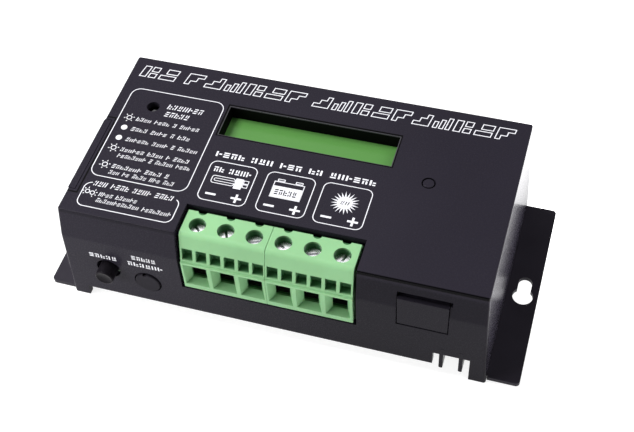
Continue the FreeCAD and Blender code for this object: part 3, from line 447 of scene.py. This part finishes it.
class Ink:
    """Thin closed plates of ink, drawn in a plane in millimetres."""

    def __init__(self, name, to_world, outward, proud=INK_PROUD):
        self.name = name
        self.to_world = to_world
        self.outward = Vector(outward)
        self.proud = proud
        self.mesh = bmesh.new()

    def loops(self, outline):
        """The outline's points below and above the surface."""
        base = [self.to_world(*p) for p in outline]
        low = [self.mesh.verts.new(p - self.outward * INK_SUNK) for p in base]
        high = [self.mesh.verts.new(p + self.outward * self.proud) for p in base]
        return low, high

    def plate(self, outline):
        low, high = self.loops(outline)
        count = len(outline)
        self.mesh.faces.new(high)
        self.mesh.faces.new(list(reversed(low)))
        for i in range(count):
            j = (i + 1) % count
            self.mesh.faces.new((low[i], low[j], high[j], high[i]))

    def band(self, outer, inner, closed=True):
        """A strip between two outlines with the same number of points."""
        out_low, out_high = self.loops(outer)
        in_low, in_high = self.loops(inner)
        count = len(outer)
        for i in range(count if closed else count - 1):
            j = (i + 1) % count
            self.mesh.faces.new((out_low[i], out_low[j], out_high[j], out_high[i]))
            self.mesh.faces.new((in_low[j], in_low[i], in_high[i], in_high[j]))
            self.mesh.faces.new((out_high[i], out_high[j], in_high[j], in_high[i]))
            self.mesh.faces.new((out_low[j], out_low[i], in_low[i], in_low[j]))
        if not closed:
            for k in (0, count - 1):
                self.mesh.faces.new((out_low[k], out_high[k], in_high[k], in_low[k]))

    def rect(self, x, y, w, h, lean=0.0):
        """A block by its lower left corner; lean moves its upper side to the right."""
        self.plate([(x, y), (x + w, y), (x + w + lean, y + h), (x + lean, y + h)])

    def outlined(self, points, line=LINE_W):
        self.band(points, inset(points, line))

    def finish(self, material):
        bmesh.ops.recalc_face_normals(self.mesh, faces=self.mesh.faces)
        new_piece(self.name, self.mesh, material)


def new_piece(name, mesh, material):
    """The built mesh as a piece that rides on the case."""
    data = bpy.data.meshes.new(name)
    mesh.to_mesh(data)
    mesh.free()
    data.materials.append(material)
    piece = bpy.data.objects.new(name, data)
    bpy.context.scene.collection.objects.link(piece)
    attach(piece, "case")


def inset(outline, line):
    """The anticlockwise outline moved inwards by the line's width."""
    points = []
    count = len(outline)
    for i in range(count):
        here = Vector(outline[i])
        arriving = (here - Vector(outline[i - 1])).normalized()
        leaving = (Vector(outline[(i + 1) % count]) - here).normalized()
        side = Vector((-arriving.y, arriving.x))
        middle = Vector((-arriving.y - leaving.y, arriving.x + leaving.x)).normalized()
        moved = here + middle * line / middle.dot(side)
        points.append((moved.x, moved.y))
    return points


def arc(x, y, radius, start, end, steps):
    """Points on an arc, angles in degrees."""
    turns = [math.radians(start + (end - start) * i / steps) for i in range(steps + 1)]
    return [(x + radius * math.cos(a), y + radius * math.sin(a)) for a in turns]


def circle(x, y, radius, steps=24):
    return arc(x, y, radius, 0, 360 - 360 / steps, steps - 1)


def rounded(x, y, w, h, radius, steps=6):
    """Outline of a rounded rectangle, anticlockwise from its lower right corner."""
    centres = [(x + w - radius, y + radius, -90), (x + w - radius, y + h - radius, 0),
               (x + radius, y + h - radius, 90), (x + radius, y + radius, 180)]
    points = []
    for cx, cy, start in centres:
        points += arc(cx, cy, radius, start, start + 90, steps)
    return points


def square(x, y, w, h, lean=0.0):
    return [(x, y), (x + w, y), (x + w + lean, y + h), (x + lean, y + h)]


def top_point(x, depth):
    """A point on the top face; depth is behind the front top edge."""
    return Vector((x * MM, FRONT_Y + depth * MM, TOP_Z))


def wall_point(x, z):
    """A point on the front wall below its knee."""
    return Vector((x * MM, COVER_LOW.y + FRONT_DRAFT * z / KNEE_Z * MM, z * MM))


# Marks that stand for letters: bars and dashes in a unit cell, as (x, y, w, h).
MARKS = (
    ((0.0, 0.0, 0.26, 1.0), (0.38, 0.0, 0.40, 0.24), (0.38, 0.42, 0.40, 0.24)),
    ((0.0, 0.0, 0.78, 0.24), (0.0, 0.39, 0.78, 0.22), (0.0, 0.76, 0.78, 0.24)),
    ((0.0, 0.0, 0.26, 1.0), (0.50, 0.0, 0.26, 1.0)),
    ((0.0, 0.0, 0.26, 0.38), (0.0, 0.62, 0.26, 0.38), (0.44, 0.0, 0.26, 1.0)),
    ((0.0, 0.76, 0.78, 0.24), (0.08, 0.0, 0.24, 0.62), (0.50, 0.0, 0.24, 0.62)),
    ((0.0, 0.0, 0.26, 1.0), (0.40, 0.38, 0.38, 0.26)),
    ((0.0, 0.0, 0.78, 0.24), (0.08, 0.38, 0.24, 0.62), (0.48, 0.38, 0.24, 0.62)),
)
UPRIGHT_WEIGHT = -0.02                     # added to the bars of upright marks, in parts of the cell
SLANTED_WEIGHT = -0.07                     # and to those of slanted marks
MARK_STEP = 3                              # shares no divisor with the number of marks
SMALL_MARKS = (0.72, 1.0, 0.72, 0.72, 1.0, 0.72, 0.85)    # heights of the marks that follow a word's first
WORD_GAP = 0.75                            # in cells


def line_of_marks(ink, x0, x1, middle, height, words, capitals=True, lean=TEXT_LEAN):
    """A line of unreadable marks from x0 to x1, in words of so many marks."""
    cell = (x1 - x0) / (sum(words) + WORD_GAP * (len(words) - 1))
    low = middle - height / 2
    weight = SLANTED_WEIGHT if lean else UPRIGHT_WEIGHT
    x, count = x0, sum(words)
    for word in words:
        for letter in range(word):
            small = SMALL_MARKS[count % len(SMALL_MARKS)]
            tall = height if capitals or letter == 0 else height * small
            for bx, by, bw, bh in MARKS[count * MARK_STEP % len(MARKS)]:
                ink.rect(x + bx * cell + lean * by * tall, low + by * tall, (bw + weight) * cell,
                         (bh + weight) * tall, lean * (bh + weight) * tall)
            x += cell
            count += 1
        x += WORD_GAP * cell


RAY_GAP, RAY_LENGTH, RAY_W = 0.40, 0.50, 0.30
RAY_TURN = 15                              # degrees by which all rays are turned
RING_LINE = 0.26


def lamp_sign(ink, x, y, radius=1.0, rays=(0, 60, 120, 180, 240, 300)):
    """A small ring with short rays: a flashing lamp."""
    ink.outlined(circle(x, y, radius), RING_LINE)
    for ray in rays:
        turn = math.radians(ray + RAY_TURN)
        along = Vector((math.cos(turn), math.sin(turn)))
        half = Vector((-along.y, along.x)) * RAY_W / 2
        near = along * (radius + RAY_GAP)
        far = along * (radius + RAY_GAP + RAY_LENGTH)
        ink.plate([(x + p.x, y + p.y) for p in (near - half, far - half, far + half, near + half)])


# The three icons over the terminals: places across are from the icon's middle, places in depth are
# behind the front top edge.
SIGN_SIZE, SIGN_BAR, SIGN_DEPTH = 3.5, 0.75, 17.9
MINUS_LEFT, PLUS_MIDDLE = -5.75, 4.65


def plus_and_minus(ink, middle):
    half, half_bar = SIGN_SIZE / 2, SIGN_BAR / 2
    plus = middle + PLUS_MIDDLE
    ink.rect(middle + MINUS_LEFT, SIGN_DEPTH - half_bar, SIGN_SIZE, SIGN_BAR)
    ink.rect(plus - half, SIGN_DEPTH - half_bar, half - half_bar, SIGN_BAR)
    ink.rect(plus + half_bar, SIGN_DEPTH - half_bar, half - half_bar, SIGN_BAR)
    ink.rect(plus - half_bar, SIGN_DEPTH - half, SIGN_BAR, SIGN_SIZE)


def icon_frame(ink, middle):
    width, depth, front, radius = 16.3, 16.9, 15.0, 2.4
    ink.outlined(rounded(middle - width / 2, front, width, depth, radius))
    plus_and_minus(ink, middle)


def load_icon(ink, middle):
    """A lamp tube bent double in its holder, with two pins."""
    icon_frame(ink, middle)
    line_of_marks(ink, middle - 6.4, middle + 6.8, 28.4, 2.1, (2, 4), lean=0.0)
    ink.outlined(rounded(middle - 5.85, 22.5, 8.0, 3.3, 0.9, 4), 0.26)
    ink.outlined(rounded(middle - 4.95, 23.5, 7.1, 1.3, 0.5, 4), 0.22)
    ink.rect(middle + 2.2, 21.8, 2.6, 4.3)
    for pin_y in (22.7, 24.3):
        ink.outlined(square(middle + 4.9, pin_y, 1.8, 1.5), 0.24)


def battery_icon(ink, dark, middle):
    """A box with two poles, its lower part filled and marked."""
    icon_frame(ink, middle)
    ink.outlined(square(middle - 5.1, 21.5, 10.2, 6.7), 0.28)
    ink.rect(middle - 4.9, 21.7, 9.8, 4.6)
    for pole_x in (middle - 4.2, middle + 1.8):
        ink.outlined(square(pole_x, 28.3, 2.5, 1.0), 0.26)
    line_of_marks(dark, middle - 3.9, middle + 3.7, 23.9, 2.2, (5,), lean=0.0)


def sun_icon(ink, dark, middle):
    """A disc with tapering rays."""
    icon_frame(ink, middle)
    x, y, rays, radius = middle + 0.3, 24.7, 20, 2.55
    foot, long_reach, short_reach = radius + 0.08, 4.75, 4.45
    half = math.radians(6.5)
    ink.plate(circle(x, y, radius, 30))
    for i in range(rays):
        turn = 2 * math.pi * (i + 0.5) / rays
        reach = long_reach if i % 2 else short_reach
        points = [(foot, turn - half), (reach, turn), (foot, turn + half)]
        ink.plate([(x + r * math.cos(a), y + r * math.sin(a)) for r, a in points])
    line_of_marks(dark, x - 1.5, x + 1.7, y, 1.5, (2,))


# Outlined marks of the heading in a unit cell: each is a list of anticlockwise outlines.
STAIRS = [(0.0, 0.0), (0.96, 0.0), (0.96, 1.0), (0.66, 1.0), (0.66, 0.68), (0.34, 0.68), (0.34, 0.36),
          (0.0, 0.36)]
TITLE_MARKS = (
    [square(0.0, 0.0, 0.40, 1.0), square(0.52, 0.0, 0.44, 0.42), square(0.52, 0.54, 0.44, 0.46)],
    [STAIRS],
    [square(0.0, 0.0, 0.96, 0.42), square(0.26, 0.54, 0.70, 0.46)],
    [square(0.0, 0.0, 0.26, 0.58), square(0.35, 0.0, 0.26, 0.79), square(0.70, 0.0, 0.26, 1.0)],
    [[(0.96 - x, 1.0 - y) for x, y in STAIRS]],
)
TITLE_STEP = 2                             # shares no divisor with the number of marks


def title_line(ink):
    """Heading along the back edge: outlined slanted marks in three words."""
    low, height, lean, line, gap = 62.9, 5.4, 0.9, 0.31, 0.9
    words = ((-67.0, -53.6, 2), (-50.2, -6.9, 6), (-3.7, 64.6, 10))    # left end, right end, marks
    count = 0
    for x0, x1, marks in words:
        pitch = (x1 - x0 + gap) / marks
        for i in range(marks):
            x, width = x0 + i * pitch, pitch - gap
            for outline in TITLE_MARKS[count * TITLE_STEP % len(TITLE_MARKS)]:
                ink.outlined([(x + px * width + lean * py, low + py * height) for px, py in outline], line)
            count += 1


TEXT_H = 1.8                               # height of the legends' text


def legend(ink):
    """Key to the lamp's colours, in a rounded frame round the lamp hole."""
    ink.outlined(rounded(-66.4, 16.1, 34.2, 41.1, 3.4))
    line_of_marks(ink, -51.5, -38.4, 51.2, 2.3, (7,))
    line_of_marks(ink, -51.3, -42.3, 47.7, 2.3, (5,))
    sign_x, text_x, dot_radius = -62.6, -60.0, 1.1
    rows = (                                   # depth, right end, words, sign
        (43.2, -37.0, (4, 4, 1, 5), "flashing"),
        (38.5, -38.6, (4, 4, 1, 3), "steady"),
        (33.7, -34.2, (6, 4, 1, 5), "steady"),
        (29.0, -35.4, (6, 4, 1, 4), "flashing"),
        (26.2, -34.0, (8, 1, 5, 4), None),
        (21.4, -39.7, (7, 4, 1), "flashing"),
        (18.7, -37.0, (3, 2, 4, 3, 3), None),
    )
    for y, end, words, sign in rows:
        line_of_marks(ink, text_x, end, y, TEXT_H, words, capitals=False)
        if sign == "steady":
            ink.plate(circle(sign_x, y, dot_radius))
        elif sign == "flashing":
            lamp_sign(ink, sign_x, y)


def second_legend(ink):
    """Lower frame, open at its top where its heading stands."""
    x0, x1, y0, y1, radius = -65.6, -32.4, 3.0, 13.2, 2.6
    left, right, front, back = x0 + radius, x1 - radius, y0 + radius, y1 - radius
    bends = ((left, back, 98, 180), (left, front, 180, 270), (right, front, 270, 360), (right, back, 0, 62))

    def path(r):
        return [point for x, y, start, end in bends for point in arc(x, y, r, start, end, 8)]

    ink.band(path(radius), path(radius - LINE_W), closed=False)
    line_of_marks(ink, -62.9, -34.9, 13.0, 2.1, (3, 4, 4, 4))
    lamp_sign(ink, -63.6, 9.2, 0.85, rays=(75, 120, 165, 210))
    lamp_sign(ink, -61.8, 8.9, 0.85, rays=(-90, -45, 0, 45))
    line_of_marks(ink, -59.5, -46.0, 9.0, TEXT_H, (4, 6), capitals=False)
    line_of_marks(ink, -59.5, -33.4, 6.5, TEXT_H, (12, 8), capitals=False)


def print_top(materials):
    """Everything printed on the top face, and the painted shadow over the side panel's gap."""
    white = Ink("top_print", top_point, (0, 0, 1))
    dark = Ink("top_print_dark", top_point, (0, 0, 1), 2 * INK_PROUD)
    title_line(white)
    legend(white)
    second_legend(white)
    line_of_marks(white, -28.0, 26.8, 34.8, 2.2, (4, 3, 3, 2, 6), lean=0.0)
    load_icon(white, -20.15)
    battery_icon(white, dark, -0.5)
    sun_icon(white, dark, 18.4)
    white.finish(materials["print_ink"])
    dark.finish(materials["case_plastic"])
    shade_side_gap(materials)


def shade_side_gap(materials):
    """A dark sheet over the gap between the cover and the panel set into its left edge: a painted shadow of
    the gap.
    """
    low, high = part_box("side_port_blank")
    line, gap, edge_in = 0.55, 0.25, 2.2   # edge_in is from the cover's foot in to its top face
    left = COVER_LOW.x / MM + edge_in
    right = high.x / MM + (gap + line) / 2
    near = (low.y - FRONT_Y) / MM - (gap + line) / 2
    far = (high.y - FRONT_Y) / MM + (gap + line) / 2
    # painted shadow along the gap
    ink = Ink("side_gap_shadow", top_point, (0, 0, 1))
    ink.rect(right - line, near + line, line, far - near - 2 * line)
    ink.rect(left, near, right - left, line)
    ink.rect(left, far - line, right - left, line)
    ink.finish(materials["bezel_black"])


def print_front(materials):
    """Labels over the reset button and the sensor plug."""
    ink = Ink("front_print", wall_point, (0, -1, 0))
    height = 1.9
    for x0, x1, z, marks in ((-62.1, -52.0, 24.0, 5), (-46.5, -37.8, 27.05, 5), (-48.4, -35.6, 23.65, 6)):
        line_of_marks(ink, x0, x1, z, height, (marks,), lean=0.0)
    ink.finish(materials["print_ink"])


# ---------------------------------------------------------------- painted shade in the display well, and its rim
WELL = (-30.6, 43.1, 59.8, 13.5)           # left, front, width and depth of the display's window
WELL_RINGS = (                             # name, how far outside the window, width, heights, material
    # black sheet on the well's walls: painted shade of the deep well
    ("display_well_shade", -0.02, 0.25, (37.42, 42.15), "bezel_black"),
    ("display_rim", 0.08, 0.26, (42.16, 42.60), "rim_plastic"),
    # black ring in the bevel: painted shadow of the gap round the rim
    ("display_gap_shadow", 0.56, 0.44, (42.45, 42.79), "bezel_black"),
)


def square_ring(name, grow, thick, heights, material):
    """A frame round the window, its outer side so far outside the window's edge."""
    low, high = heights
    x, y, w, h = WELL
    outer = square(x - grow, y - grow, w + 2 * grow, h + 2 * grow)
    inner = inset(outer, thick)
    mesh = bmesh.new()
    rings = []
    for outline, z in ((outer, low), (outer, high), (inner, high), (inner, low)):
        rings.append([mesh.verts.new((px * MM, FRONT_Y + py * MM, z * MM)) for px, py in outline])
    for k, ring in enumerate(rings):
        following = rings[(k + 1) % len(rings)]
        for i in range(len(ring)):
            j = (i + 1) % len(ring)
            mesh.faces.new((ring[i], ring[j], following[j], following[i]))
    bmesh.ops.recalc_face_normals(mesh, faces=mesh.faces)
    new_piece(name, mesh, material)


def paint_display_well_shade(materials):
    """Black sheets: painted shade on the well's walls, and a rim with a painted shadow of the gap round it
    in the bevel.
    """
    for name, grow, thick, heights, material in WELL_RINGS:
        square_ring(name, grow, thick, heights, materials[material])


# ---------------------------------------------------------------- put together
def main():
    make_camera()
    make_studio()
    materials = make_materials()
    paint_shade_places(materials)
    dress_frame(materials)
    print_top(materials)
    print_front(materials)
    paint_display_well_shade(materials)


main()
